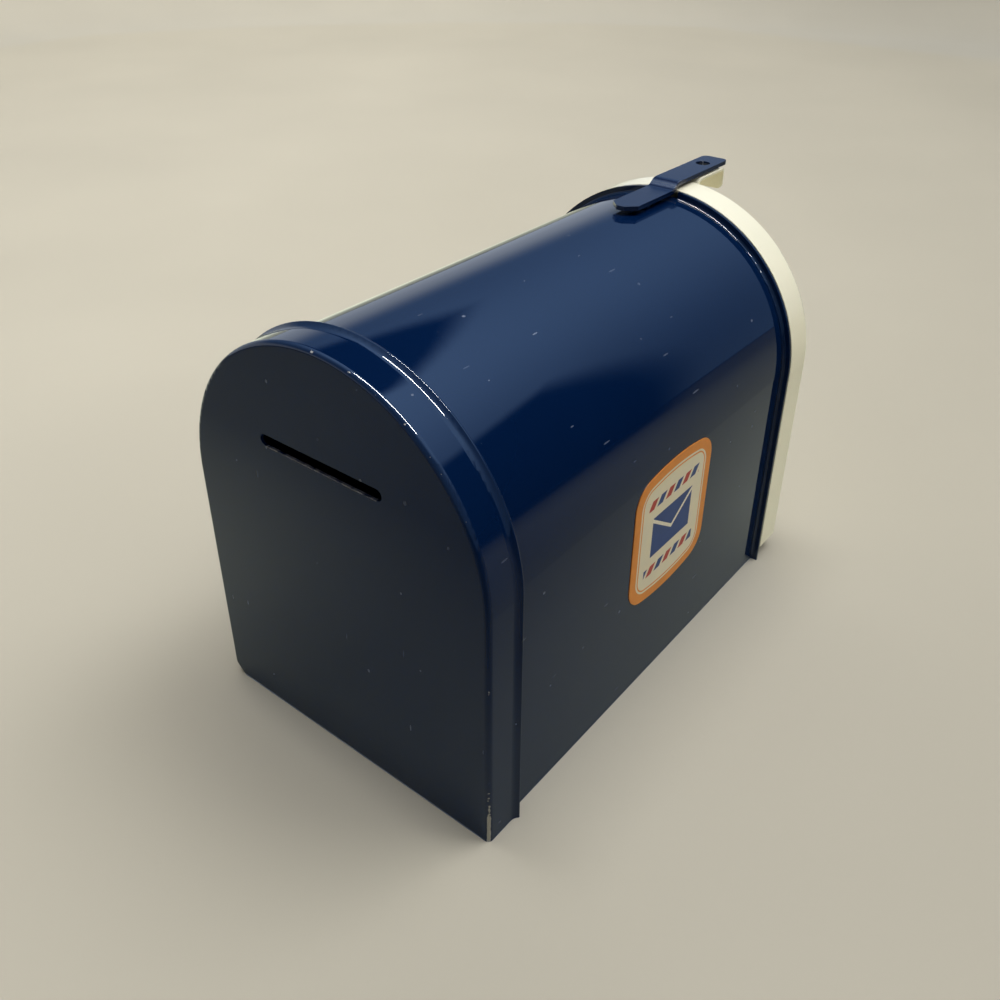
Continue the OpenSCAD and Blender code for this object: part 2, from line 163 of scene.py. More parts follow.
def nick_mask(tree, where, cell_mm, size_mm, stretch, turn_deg, share):
    """Scattered small nicks in the paint, about one in each chosen cell, stretched to short strokes."""
    mapped = add_node(tree, "ShaderNodeMapping", None, {
        "Vector": where, "Rotation": (0.0, 0.0, math.radians(turn_deg)),
        "Scale": (1 / cell_mm, 1 / (cell_mm * stretch), 1.0)})
    cells = add_node(tree, "ShaderNodeTexVoronoi", {"voronoi_dimensions": "2D"},
                     {"Vector": mapped.outputs[0], "Scale": 1.0, "Randomness": 1.0})
    pick = add_node(tree, "ShaderNodeSeparateColor", None, {0: cells.outputs["Color"]})
    kept = add_node(tree, "ShaderNodeMath", {"operation": "LESS_THAN"}, {0: pick.outputs[0], 1: share})
    reach = add_node(tree, "ShaderNodeMath", {"operation": "MULTIPLY"},
                     {0: pick.outputs[1], 1: 2 * size_mm / cell_mm})
    inside = add_node(tree, "ShaderNodeMath", {"operation": "LESS_THAN"},
                      {0: cells.outputs["Distance"], 1: reach.outputs[0]})
    both = add_node(tree, "ShaderNodeMath", {"operation": "MULTIPLY"},
                    {0: kept.outputs[0], 1: inside.outputs[0]})
    depth = add_node(tree, "ShaderNodeMapRange", None,
                     {"Value": pick.outputs[2], "To Min": 0.25, "To Max": 1.0})
    worn = add_node(tree, "ShaderNodeMath", {"operation": "MULTIPLY"},
                    {0: both.outputs[0], 1: depth.outputs[0]})
    return worn.outputs[0]


def baked_enamel(name, colour, worn_colour, gloss, nick_share, fold_wear):
    """Enamel sprayed on pressed steel and baked: deep colour under a hard gloss.

    The eye sees clear reflections with a faint ripple (orange peel), small pale nicks from coins and
    handling, and on folds that rub on the table, bare steel.
    """
    material, tree = new_material(name)
    whole, part = millimetres(tree)
    sheet, above = unrolled(tree, part)

    # Slow change of depth in the paint, over about 35 mm
    clouds = add_node(tree, "ShaderNodeTexNoise", None,
                      {"Vector": whole, "Scale": 1 / 35, "Detail": 2.0, "Roughness": 0.5})
    depth = add_node(tree, "ShaderNodeMapRange", None,
                     {"Value": clouds.outputs[0], "From Min": 0.3, "From Max": 0.7,
                      "To Min": 0.95, "To Max": 1.03})
    shade = add_node(tree, "ShaderNodeVectorMath", {"operation": "SCALE"},
                     {0: colour, "Scale": depth.outputs[0]})

    # Nicks: strokes up to 2.5 mm long in two directions, and dots
    strokes = nick_mask(tree, sheet, 8.0, 0.11, 7.0, 24.0, nick_share)
    crossing = nick_mask(tree, sheet, 11.0, 0.1, 5.0, -58.0, nick_share)
    dots = nick_mask(tree, sheet, 13.0, 0.2, 1.3, 0.0, nick_share)
    pair = add_node(tree, "ShaderNodeMath", {"operation": "MAXIMUM"}, {0: strokes, 1: crossing})
    nicks = add_node(tree, "ShaderNodeMath", {"operation": "MAXIMUM"}, {0: pair.outputs[0], 1: dots})
    faded = add_node(tree, "ShaderNodeMath", {"operation": "MULTIPLY"}, {0: nicks.outputs[0], 1: 0.45})
    nicked = add_node(tree, "ShaderNodeMix", {"data_type": "RGBA"},
                      {0: faded.outputs[0], 6: shade.outputs[0], 7: (*worn_colour, 1.0)})

    # Roughness changes a little where hands have rubbed the paint, over about 12 mm
    rub = add_node(tree, "ShaderNodeTexNoise", None,
                   {"Vector": whole, "Scale": 1 / 12, "Detail": 3.0, "Roughness": 0.6})
    sheen = add_node(tree, "ShaderNodeMapRange", None,
                     {"Value": rub.outputs[0], "From Min": 0.35, "From Max": 0.7,
                      "To Min": gloss, "To Max": gloss + 0.02})
    dulled = add_node(tree, "ShaderNodeMath", {"operation": "MULTIPLY_ADD"},
                      {0: nicks.outputs[0], 1: 0.35, 2: sheen.outputs[0]})

    # Orange peel: ripples about 3 mm wide and a few microns high
    peel = add_node(tree, "ShaderNodeTexNoise", None,
                    {"Vector": whole, "Scale": 1 / 3.0, "Detail": 1.0, "Roughness": 0.4})
    cut = add_node(tree, "ShaderNodeMath", {"operation": "MULTIPLY_ADD"},
                   {0: nicks.outputs[0], 1: -1.5, 2: peel.outputs[0]})
    relief = add_node(tree, "ShaderNodeBump", None,
                      {"Strength": 0.5, "Distance": 0.006 * MM, "Height": cut.outputs[0]})
    paint = add_node(tree, "ShaderNodeBsdfPrincipled", None,
                     {"Base Color": nicked.outputs[2], "Roughness": dulled.outputs[0], "IOR": ENAMEL_IOR,
                      "Normal": relief.outputs[0]})
    if not fold_wear:
        add_node(tree, "ShaderNodeOutputMaterial", None, {"Surface": paint.outputs[0]})
        return material

    # The fold round the rear panel is where distance from the arch line and from the front add up to
    # most. There the paint is rubbed through in flakes, most at the lower corner by the label.
    square_x = add_node(tree, "ShaderNodeMath", {"operation": "MULTIPLY"}, {0: part["X"], 1: part["X"]})
    square_z = add_node(tree, "ShaderNodeMath", {"operation": "MULTIPLY_ADD"},
                        {0: above, 1: above, 2: square_x.outputs[0]})
    radius = add_node(tree, "ShaderNodeMath", {"operation": "SQRT"}, {0: square_z.outputs[0]})
    reach = add_node(tree, "ShaderNodeMath", {"operation": "ADD"}, {0: radius.outputs[0], 1: part["Y"]})
    corner_sum = REAR_Y_MM + FOLD_RADIUS_MM
    closeness = add_node(tree, "ShaderNodeMapRange", None,
                         {"Value": reach.outputs[0], "From Min": corner_sum - 0.5, "From Max": corner_sum,
                          "To Min": 0.0, "To Max": 1.0})
    low = add_node(tree, "ShaderNodeMapRange", None,
                   {"Value": part["Z"], "From Min": 8.0, "From Max": 22.0, "To Min": 0.34, "To Max": 0.05})
    label_side = add_node(tree, "ShaderNodeMath", {"operation": "LESS_THAN"}, {0: part["X"], 1: 0.0})
    corner = add_node(tree, "ShaderNodeMath", {"operation": "MULTIPLY"},
                      {0: low.outputs[0], 1: label_side.outputs[0]})
    flakes = add_node(tree, "ShaderNodeTexNoise", None,
                      {"Vector": whole, "Scale": 1 / 1.6, "Detail": 4.0, "Roughness": 0.62})
    level = add_node(tree, "ShaderNodeMath", {"operation": "ADD"},
                     {0: flakes.outputs[0], 1: corner.outputs[0]})
    through = add_node(tree, "ShaderNodeMath", {"operation": "MULTIPLY"},
                       {0: level.outputs[0], 1: closeness.outputs[0]})
    bare = add_node(tree, "ShaderNodeMapRange", None,
                    {"Value": through.outputs[0], "From Min": 0.66, "From Max": 0.7})

    # Coins have rubbed the lower lip of the slot down to the steel in places
    lip_gap = add_node(tree, "ShaderNodeMath", {"operation": "COMPARE"},
                       {0: part["Z"], 1: ARCH_Z_MM + LIP_RISE_MM, 2: 0.11})
    lip_run = add_node(tree, "ShaderNodeMath", {"operation": "COMPARE"},
                       {0: part["X"], 1: LIP_MIDDLE_MM, 2: LIP_HALF_MM})
    lip = add_node(tree, "ShaderNodeMath", {"operation": "MULTIPLY"},
                   {0: lip_gap.outputs[0], 1: lip_run.outputs[0]})
    rubbed = add_node(tree, "ShaderNodeMapRange", None,
                      {"Value": flakes.outputs[0], "From Min": 0.38, "From Max": 0.6, "To Max": 0.5})
    worn_lip = add_node(tree, "ShaderNodeMath", {"operation": "MULTIPLY"},
                        {0: lip.outputs[0], 1: rubbed.outputs[0]})
    worn = add_node(tree, "ShaderNodeMath", {"operation": "MAXIMUM"},
                    {0: bare.outputs[0], 1: worn_lip.outputs[0]})
    steel = add_node(tree, "ShaderNodeBsdfPrincipled", None,
                     {"Base Color": (*linear("#b3aca0"), 1.0), "Metallic": 0.7, "Roughness": 0.55})
    mixed = add_node(tree, "ShaderNodeMixShader", None,
                     {0: worn.outputs[0], 1: paint.outputs[0], 2: steel.outputs[0]})
    add_node(tree, "ShaderNodeOutputMaterial", None, {"Surface": mixed.outputs[0]})
    return material


def plated_steel(name, colour):
    """Zinc plate on drawn steel: pale metal with fine lines along the draw and a dull lustre."""
    material, tree = new_material(name)
    whole, _ = millimetres(tree)
    stretched = add_node(tree, "ShaderNodeMapping", None, {"Vector": whole, "Scale": (0.3, 6.0, 6.0)})
    lines = add_node(tree, "ShaderNodeTexNoise", None,
                     {"Vector": stretched.outputs[0], "Scale": 1.0, "Detail": 3.0, "Roughness": 0.55})
    tarnish = add_node(tree, "ShaderNodeTexNoise", None,
                       {"Vector": whole, "Scale": 1 / 2.5, "Detail": 3.0, "Roughness": 0.6})
    tone = add_node(tree, "ShaderNodeMapRange", None,
                    {"Value": tarnish.outputs[0], "From Min": 0.35, "From Max": 0.7,
                     "To Min": 1.05, "To Max": 0.72})
    shade = add_node(tree, "ShaderNodeVectorMath", {"operation": "SCALE"},
                     {0: colour, "Scale": tone.outputs[0]})
    dull = add_node(tree, "ShaderNodeMapRange", None,
                    {"Value": lines.outputs[0], "To Min": 0.26, "To Max": 0.46})
    relief = add_node(tree, "ShaderNodeBump", None,
                      {"Strength": 0.4, "Distance": 0.01 * MM, "Height": lines.outputs[0]})
    metal = add_node(tree, "ShaderNodeBsdfPrincipled", None,
                     {"Base Color": shade.outputs[0], "Metallic": 1.0, "Roughness": dull.outputs[0],
                      "Normal": relief.outputs[0]})
    add_node(tree, "ShaderNodeOutputMaterial", None, {"Surface": metal.outputs[0]})
    return material


def printed_vinyl(name, looks):
    """Vinyl sticker, screen printed in flat inks under a satin face: a border round an envelope.

    Distances are worked out in millimetres from the sticker's middle.
    """
    material, tree = new_material(name)
    whole, part = millimetres(tree)
    half_w = (LABEL_HIGH.y - LABEL_LOW.y) / 2 / MM
    half_h = (LABEL_HIGH.z - LABEL_LOW.z) / 2 / MM
    across = add_node(tree, "ShaderNodeMath", {"operation": "SUBTRACT"},
                      {0: part["Y"], 1: LABEL_MID.y / MM})
    up = add_node(tree, "ShaderNodeMath", {"operation": "SUBTRACT"}, {0: part["Z"], 1: LABEL_MID.z / MM})
    wide = add_node(tree, "ShaderNodeMath", {"operation": "ABSOLUTE"}, {0: across.outputs[0]})
    high = add_node(tree, "ShaderNodeMath", {"operation": "ABSOLUTE"}, {0: up.outputs[0]})

    # Distance inward from the sticker's edge, whose upper and lower sides are curved
    square_w = add_node(tree, "ShaderNodeMath", {"operation": "MULTIPLY"},
                        {0: across.outputs[0], 1: across.outputs[0]})
    evened = add_node(tree, "ShaderNodeMath", {"operation": "MULTIPLY_ADD"},
                      {0: square_w.outputs[0], 1: 0.5 / LABEL_BOW_MM, 2: high.outputs[0]})
    past_w = add_node(tree, "ShaderNodeMath", {"operation": "SUBTRACT"},
                      {0: wide.outputs[0], 1: half_w - LABEL_CORNER_MM})
    past_h = add_node(tree, "ShaderNodeMath", {"operation": "SUBTRACT"},
                      {0: evened.outputs[0], 1: half_h - LABEL_CORNER_MM})
    edge_w = add_node(tree, "ShaderNodeMath", {"operation": "MAXIMUM"}, {0: past_w.outputs[0], 1: 0.0})
    edge_h = add_node(tree, "ShaderNodeMath", {"operation": "MAXIMUM"}, {0: past_h.outputs[0], 1: 0.0})
    joined = add_node(tree, "ShaderNodeCombineXYZ", None, {"X": edge_w.outputs[0], "Y": edge_h.outputs[0]})
    length = add_node(tree, "ShaderNodeVectorMath", {"operation": "LENGTH"}, {0: joined.outputs[0]})
    inward = add_node(tree, "ShaderNodeMath", {"operation": "SUBTRACT"},
                      {0: LABEL_CORNER_MM, 1: length.outputs["Value"]})
    flat_in_w = add_node(tree, "ShaderNodeMath", {"operation": "MULTIPLY"}, {0: past_w.outputs[0], 1: -1.0})
    flat_in_h = add_node(tree, "ShaderNodeMath", {"operation": "MULTIPLY"}, {0: past_h.outputs[0], 1: -1.0})
    flat_in = add_node(tree, "ShaderNodeMath", {"operation": "MINIMUM"},
                       {0: flat_in_w.outputs[0], 1: flat_in_h.outputs[0]})
    flat_more = add_node(tree, "ShaderNodeMath", {"operation": "MAXIMUM"}, {0: flat_in.outputs[0], 1: 0.0})
    inset = add_node(tree, "ShaderNodeMath", {"operation": "ADD"},
                     {0: inward.outputs[0], 1: flat_more.outputs[0]})

    # Distance from the envelope's flap, a line that falls from both upper corners to the middle
    slope = add_node(tree, "ShaderNodeMath", {"operation": "MULTIPLY_ADD"},
                     {0: wide.outputs[0], 1: -0.68, 2: up.outputs[0]})
    off_flap = add_node(tree, "ShaderNodeMath", {"operation": "SUBTRACT"}, {0: slope.outputs[0], 1: -1.2})
    flap = add_node(tree, "ShaderNodeMath", {"operation": "ABSOLUTE"}, {0: off_flap.outputs[0]})

    # Distance from the two rows of bars, and the place within each 8 mm of their slanted beat
    row_gap = add_node(tree, "ShaderNodeMath", {"operation": "SUBTRACT"}, {0: high.outputs[0], 1: 10.3})
    row = add_node(tree, "ShaderNodeMath", {"operation": "ABSOLUTE"}, {0: row_gap.outputs[0]})
    slant = add_node(tree, "ShaderNodeMath", {"operation": "MULTIPLY_ADD"},
                     {0: up.outputs[0], 1: 0.7, 2: across.outputs[0]})
    beat = add_node(tree, "ShaderNodeMath", {"operation": "WRAP"}, {0: slant.outputs[0], 1: 8.0, 2: 0.0})

    # Ink lies a little unevenly, over about 3 mm, and the paper has yellowed
    clouds = add_node(tree, "ShaderNodeTexNoise", None,
                      {"Vector": whole, "Scale": 1 / 3, "Detail": 4.0, "Roughness": 0.6})
    field = add_node(tree, "ShaderNodeMix", {"data_type": "RGBA"},
                     {0: clouds.outputs[0], 6: (*looks["paper"], 1.0), 7: (*looks["aged_paper"], 1.0)})

    # Each mark is where all its tests pass, and is printed over those before it: the envelope, its
    # flap in the paper's colour, red and blue bars, a fine line, and the border of 2.7 mm
    envelope = ((wide, "LESS_THAN", 9.5), (high, "LESS_THAN", 6.0))
    rows = ((row, "LESS_THAN", 1.35), (wide, "LESS_THAN", 12.0))
    marks = (
        ("ink_blue", envelope),
        ("paper", ((flap, "LESS_THAN", 0.55), *envelope)),
        ("ink_red", (*rows, (beat, "LESS_THAN", 2.7))),
        ("ink_blue", (*rows, (beat, "GREATER_THAN", 4.0), (beat, "LESS_THAN", 6.7))),
        ("border", ((inset, "GREATER_THAN", 3.3), (inset, "LESS_THAN", 3.75))),
        ("border", ((inset, "LESS_THAN", 2.7),)),
    )
    printed = field.outputs[2]
    for ink, tests in marks:
        mask = 1.0
        for distance, test, limit in tests:
            passed = add_node(tree, "ShaderNodeMath", {"operation": test}, {0: distance.outputs[0], 1: limit})
            mask = add_node(tree, "ShaderNodeMath", {"operation": "MULTIPLY"},
                            {0: mask, 1: passed.outputs[0]}).outputs[0]
        printed = add_node(tree, "ShaderNodeMix", {"data_type": "RGBA"},
                           {0: mask, 6: printed, 7: (*looks[ink], 1.0)}).outputs[2]
    spread = add_node(tree, "ShaderNodeMapRange", None,
                      {"Value": clouds.outputs[0], "From Min": 0.3, "From Max": 0.7,
                       "To Min": 0.93, "To Max": 1.04})
    uneven = add_node(tree, "ShaderNodeVectorMath", {"operation": "SCALE"},
                      {0: printed, "Scale": spread.outputs[0]})
    relief = add_node(tree, "ShaderNodeBump", None,
                      {"Strength": 0.35, "Distance": 0.02 * MM, "Height": clouds.outputs[0]})
    vinyl = add_node(tree, "ShaderNodeBsdfPrincipled", None,
                     {"Base Color": uneven.outputs[0], "Roughness": 0.38, "IOR": VINYL_IOR,
                      "Normal": relief.outputs[0]})
    add_node(tree, "ShaderNodeOutputMaterial", None, {"Surface": vinyl.outputs[0]})
    return material


def seamless_paper(name, colour):
    """Studio background paper: pale and matt, with a faint tooth, and painted shade that makes it darker
    towards one side.
    """
    material, tree = new_material(name)
    whole, _ = millimetres(tree)
    # Painted shade: two straight gradients darken the paper towards the far corner past the door end on the
    # label side, and a little towards the camera's side
    painted_falloffs = []
    for direction, start, end, start_tone, end_tone in (
            ((0.8, 0.5, 0.0), -350.0, 200.0, 0.6, 0.82), ((-0.6, 0.8, 0.0), -150.0, 150.0, 1.02, 0.9)):
        along = add_node(tree, "ShaderNodeVectorMath", {"operation": "DOT_PRODUCT"},
                         {0: whole, 1: direction})
        painted_falloffs.append(add_node(tree, "ShaderNodeMapRange", None,
                              {"Value": along.outputs["Value"], "From Min": start, "From Max": end,
                               "To Min": start_tone, "To Max": end_tone}).outputs[0])
    clouds = add_node(tree, "ShaderNodeTexNoise", None,
                      {"Vector": whole, "Scale": 1 / 160, "Detail": 2.0, "Roughness": 0.5})
    tone = add_node(tree, "ShaderNodeMapRange", None,
                    {"Value": clouds.outputs[0], "From Min": 0.3, "From Max": 0.7,
                     "To Min": 0.97, "To Max": 1.02})
    graded = add_node(tree, "ShaderNodeMath", {"operation": "MULTIPLY"}, {0: painted_falloffs[0], 1: painted_falloffs[1]})
    mottle_and_painted_shade = add_node(tree, "ShaderNodeMath", {"operation": "MULTIPLY"},
                          {0: tone.outputs[0], 1: graded.outputs[0]})
    shade = add_node(tree, "ShaderNodeVectorMath", {"operation": "SCALE"},
                     {0: colour, "Scale": mottle_and_painted_shade.outputs[0]})
    tooth = add_node(tree, "ShaderNodeTexNoise", None,
                     {"Vector": whole, "Scale": 1 / 1.5, "Detail": 3.0, "Roughness": 0.6})
    relief = add_node(tree, "ShaderNodeBump", None,
                      {"Strength": 0.15, "Distance": 0.05 * MM, "Height": tooth.outputs[0]})
    paper = add_node(tree, "ShaderNodeBsdfPrincipled", None,
                     {"Base Color": shade.outputs[0], "Roughness": 0.85, "IOR": PAPER_IOR,
                      "Normal": relief.outputs[0]})
    add_node(tree, "ShaderNodeOutputMaterial", None, {"Surface": paper.outputs[0]})
    return material


def lathe(name, profile, steps):
    """Turns a profile of radius and height round the vertical axis into a mesh object."""
    mesh = bpy.data.meshes.new(name)
    build = bmesh.new()
    rings = []
    for radius, height in profile:
        ring = [build.verts.new((radius * math.cos(2 * math.pi * i / steps),
                                 radius * math.sin(2 * math.pi * i / steps), height)) for i in range(steps)]
        rings.append(ring)
    for inner, outer in zip(rings, rings[1:]):
        for i in range(steps):
            j = (i + 1) % steps
            build.faces.new((inner[i], outer[i], outer[j], inner[j]))
    build.faces.new(rings[0])
    for face in build.faces:
        face.smooth = True
    build.to_mesh(mesh)
    build.free()
    item = bpy.data.objects.new(name, mesh)
    bpy.context.scene.collection.objects.link(item)
    return item


def colour_prop(name, description, hex_code):
    """A colour setting whose default is an sRGB hex value."""
    return bpy.props.FloatVectorProperty(name=name, description=description, subtype="COLOR", size=3,
                                         min=0.0, max=1.0, default=linear(hex_code))


class COINBANK_PG_finish(bpy.types.PropertyGroup):
    """Colours and wear of the bank's finishes."""

    navy: colour_prop("Navy", "Enamel of the body, cap, tray and strap", "#03193c")
    navy_nick: colour_prop("Navy nick", "Colour of small nicks in the navy enamel", "#8d97aa")
    cream: colour_prop("Cream", "Enamel of the door and its pull", "#f6f2da")
    cream_nick: colour_prop("Cream nick", "Colour of small nicks in the cream enamel", "#b9b096")
    red: colour_prop("Red", "Enamel of the signal flag", "#b01c22")
    red_nick: colour_prop("Red nick", "Colour of small nicks in the red enamel", "#d8a49a")
    zinc: colour_prop("Zinc", "Plating of the rod, rivet and washers", "#c6c7c4")
    border: colour_prop("Border", "Ink of the sticker's border", "#df8a30")
    paper: colour_prop("Paper", "Ground of the sticker", "#e9e2cb")
    aged_paper: colour_prop("Aged paper", "Yellowed parts of the sticker's ground", "#dcd0ae")
    ink_blue: colour_prop("Blue ink", "Ink of the envelope and of every second bar", "#24427f")
    ink_red: colour_prop("Red ink", "Ink of the other bars", "#b5382f")
    enamel_roughness: bpy.props.FloatProperty(
        name="Enamel roughness", description="How much the navy enamel blurs reflections",
        default=0.05, min=0.02, max=0.6)
    nick_share: bpy.props.FloatProperty(
        name="Nicks", description="Share of the places that have a nick", default=0.42, min=0.0, max=1.0,
        subtype="FACTOR")
    edge_round: bpy.props.FloatProperty(
        name="Edge rounding", description="Radius of the paint on the edges of the flat pieces",
        default=0.22 * MM, min=0.0, max=0.4 * MM, unit="LENGTH")


class COINBANK_PG_studio(bpy.types.PropertyGroup):
    """The paper sweep, its lamps and the camera."""

    paper: colour_prop("Paper", "Colour of the paper sweep", "#d3cdbd")
    floor_radius: bpy.props.FloatProperty(
        name="Floor radius", description="Radius of the flat part of the paper", default=1.1, min=0.5,
        max=3.0, unit="LENGTH")
    wall_height: bpy.props.FloatProperty(
        name="Wall height", description="Height of the paper's turned-up edge above its bend", default=0.5,
        min=0.05, max=2.0, unit="LENGTH")
    room_dim: bpy.props.FloatProperty(
        name="Room", description="Brightness of the room's walls in the gloss", default=0.33, min=0.0,
        max=2.0)
    room_bright: bpy.props.FloatProperty(
        name="Ceiling", description="How much brighter the gloss shows the ceiling", default=3.1, min=0.0,
        max=8.0)
    low_wall: bpy.props.FloatProperty(
        name="Pale wall", description="Brightness of the low wall beyond the flag side in the gloss",
        default=0.4, min=0.0, max=2.0)
    room_fill: bpy.props.FloatProperty(
        name="Room fill", description="Even light from the walls", default=0.2, min=0.0, max=2.0)
    strip_watts: bpy.props.FloatProperty(
        name="Ceiling strip", description="Power of the strip lamp overhead", default=17.0, min=0.0,
        max=200.0, unit="POWER")
    glint_watts: bpy.props.FloatProperty(
        name="Strip glint", description="Power of the strip lamp that the gloss alone shows", default=100.0,
        min=0.0, max=600.0, unit="POWER")
    key_watts: bpy.props.FloatProperty(
        name="Side key", description="Power of the large soft lamp above the label side", default=68.0,
        min=0.0, max=400.0, unit="POWER")
    bounce_watts: bpy.props.FloatProperty(
        name="Far bounce", description="Power of the soft lamp beyond the flag side", default=4.0, min=0.0,
        max=100.0, unit="POWER")
    # The grey card is a painted reflection of the floor, darker than the paper, with painted shade in it
    card: colour_prop("Card", "Colour of the grey card round the bank, seen only in the gloss", "#a5a99a")
    camera_place: bpy.props.FloatVectorProperty(
        name="Camera place", description="Where the camera stands", size=3, subtype="TRANSLATION",
        default=(-0.135391, 0.178419, 0.193078), unit="LENGTH")
    azimuth: bpy.props.FloatProperty(
        name="Azimuth", description="Direction of the camera round the bank, 0 looking at the door",
        default=math.radians(218.377), subtype="ANGLE", unit="ROTATION")
    elevation: bpy.props.FloatProperty(
        name="Elevation", description="Angle of the camera above the table", default=math.radians(31.081),
        subtype="ANGLE", unit="ROTATION")
    roll: bpy.props.FloatProperty(
        name="Roll", description="Tilt of the camera round its own axis", default=math.radians(0.286),
        subtype="ANGLE", unit="ROTATION")
    lens: bpy.props.FloatProperty(
        name="Lens", description="Focal length in millimetres on a 36 mm sensor", default=35.661, min=10.0,
        max=200.0)
    shift: bpy.props.FloatProperty(
        name="Shift", description="Vertical shift of the picture, as a share of its size", default=-0.06,
        min=-0.5, max=0.5)


class COINBANK_OT_navy(bpy.types.Operator):
    """Finish the body, rear cap, floor tray and strap in navy enamel"""

    bl_idname = "coinbank.navy"
    bl_label = "Navy Enamel"

    def execute(self, context):
        looks = context.scene.coinbank_finish
        navy = baked_enamel("navy baked enamel on steel", looks.navy, looks.navy_nick,
                            looks.enamel_roughness, looks.nick_share, True)
        dress(("body_shell", "rear_cap", "floor_tray"), navy)
        handled = baked_enamel("navy enamel dulled by handling", looks.navy, looks.navy_nick,
                               looks.enamel_roughness + 0.2, looks.nick_share, False)
        dress(("hasp_strap",), handled)
        soften_edges(("hasp_strap",), looks.edge_round / MM)
        return {"FINISHED"}


class COINBANK_OT_cream(bpy.types.Operator):
    """Finish the door and its pull in cream enamel"""

    bl_idname = "coinbank.cream"
    bl_label = "Cream Enamel"

    def execute(self, context):
        looks = context.scene.coinbank_finish
        cream = baked_enamel("cream baked enamel on steel", looks.cream, looks.cream_nick, 0.2,
                             looks.nick_share * 0.6, False)
        dress(("door_pan", "door_pull"), cream)
        return {"FINISHED"}


class COINBANK_OT_flag(bpy.types.Operator):
    """Finish the signal flag in red enamel"""

    bl_idname = "coinbank.flag"
    bl_label = "Red Flag"

    def execute(self, context):
        looks = context.scene.coinbank_finish
        red = baked_enamel("red baked enamel on steel", looks.red, looks.red_nick, 0.16,
                           looks.nick_share, False)
        dress(("signal_flag",), red)
        soften_edges(("signal_flag",), looks.edge_round / MM)
        return {"FINISHED"}


class COINBANK_OT_hardware(bpy.types.Operator):
    """Finish the hinge rod, rivet and washers in zinc plate"""

    bl_idname = "coinbank.hardware"
    bl_label = "Plated Hardware"

    def execute(self, context):
        looks = context.scene.coinbank_finish
        dress(("hinge_rod", "flag_rivet", "flag_washer", "flag_backing_washer"),
              plated_steel("zinc plated steel", looks.zinc))
        return {"FINISHED"}


class COINBANK_OT_sticker(bpy.types.Operator):
    """Print the sticker with a border, an envelope and slanted bars"""

    bl_idname = "coinbank.sticker"
    bl_label = "Printed Sticker"

    def execute(self, context):
        looks = context.scene.coinbank_finish
        inks = {key: tuple(getattr(looks, key))
                for key in ("border", "paper", "aged_paper", "ink_blue", "ink_red")}
        dress(("side_label",), printed_vinyl("screen printed vinyl", inks))
        return {"FINISHED"}


def add_lamp(name, place, target, width, height, watts, colour):
    """An area lamp that faces a point."""
    data = bpy.data.lights.new(name, "AREA")
    data.shape = "RECTANGLE"
    data.size = width
    data.size_y = height
    data.energy = watts
    data.color = colour
    lamp = bpy.data.objects.new(name, data)
    lamp.location = place
    lamp.rotation_euler = (Vector(target) - Vector(place)).to_track_quat("-Z", "Y").to_euler()
    bpy.context.scene.collection.objects.link(lamp)
    return lamp


def matt_black(name):
    """Black flock on gauze for cards that only the gloss shows, painted dark reflections of unlit parts of
    the room: it gives back almost no light, and thins out towards its edges.
    """
    material, tree = new_material(name)
    flock = add_node(tree, "ShaderNodeBsdfPrincipled", None,
                     {"Base Color": (*linear("#050505"), 1.0), "Roughness": 1.0, "Specular IOR Level": 0.0})
    gauze = add_node(tree, "ShaderNodeBsdfTransparent")
    cover = add_node(tree, "ShaderNodeAttribute", {"attribute_name": "cover"})
    smooth = add_node(tree, "ShaderNodeMapRange", {"interpolation_type": "SMOOTHSTEP"},
                      {"Value": cover.outputs["Fac"]})
    mixed = add_node(tree, "ShaderNodeMixShader", None,
                     {0: smooth.outputs[0], 1: gauze.outputs[0], 2: flock.outputs[0]})
    add_node(tree, "ShaderNodeOutputMaterial", None, {"Surface": mixed.outputs[0]})
    return material


def painted_floor_reflection_card(name, colour):
    """Matt grey card round the bank that only the gloss shows: a painted reflection of the floor, darker than
    the paper, with painted light and shade that make it paler towards the door end, the rear panel and the
    flag side, and darker further out.
    """
    material, tree = new_material(name)
    _, part = millimetres(tree)
    square_x = add_node(tree, "ShaderNodeMath", {"operation": "MULTIPLY"}, {0: part["X"], 1: part["X"]})
    square = add_node(tree, "ShaderNodeMath", {"operation": "MULTIPLY_ADD"},
                      {0: part["Y"], 1: part["Y"], 2: square_x.outputs[0]})
    away = add_node(tree, "ShaderNodeMath", {"operation": "SQRT"}, {0: square.outputs[0]})
    # Painted falloff: the card darkens from 250 mm out to 650 mm from the bank
    level = add_node(tree, "ShaderNodeMapRange", {"interpolation_type": "SMOOTHSTEP"},
                     {"Value": away.outputs[0], "From Min": 250.0, "From Max": 650.0, "To Min": 1.0,
                      "To Max": 0.45}).outputs[0]
    # Painted light and shade: paler towards the door end and the flag side, darker behind the rear panel and
    # past the label side
    for axis, start, end, start_tone, end_tone in (
            ("Y", 40.0, -150.0, 1.0, 1.65), ("Y", 70.0, 150.0, 1.0, 0.36),
            ("X", -20.0, -95.0, 1.0, 0.36), ("X", 20.0, 120.0, 0.9, 1.4)):
        tone = add_node(tree, "ShaderNodeMapRange", None,
                        {"Value": part[axis], "From Min": start, "From Max": end, "To Min": start_tone,
                         "To Max": end_tone})
        level = add_node(tree, "ShaderNodeMath", {"operation": "MULTIPLY"},
                         {0: level, 1: tone.outputs[0]}).outputs[0]
    shade = add_node(tree, "ShaderNodeVectorMath", {"operation": "SCALE"}, {0: colour, "Scale": level})
    card = add_node(tree, "ShaderNodeBsdfPrincipled", None,
                    {"Base Color": shade.outputs[0], "Roughness": 1.0, "Specular IOR Level": 0.0})
    add_node(tree, "ShaderNodeOutputMaterial", None, {"Surface": card.outputs[0]})
    return material


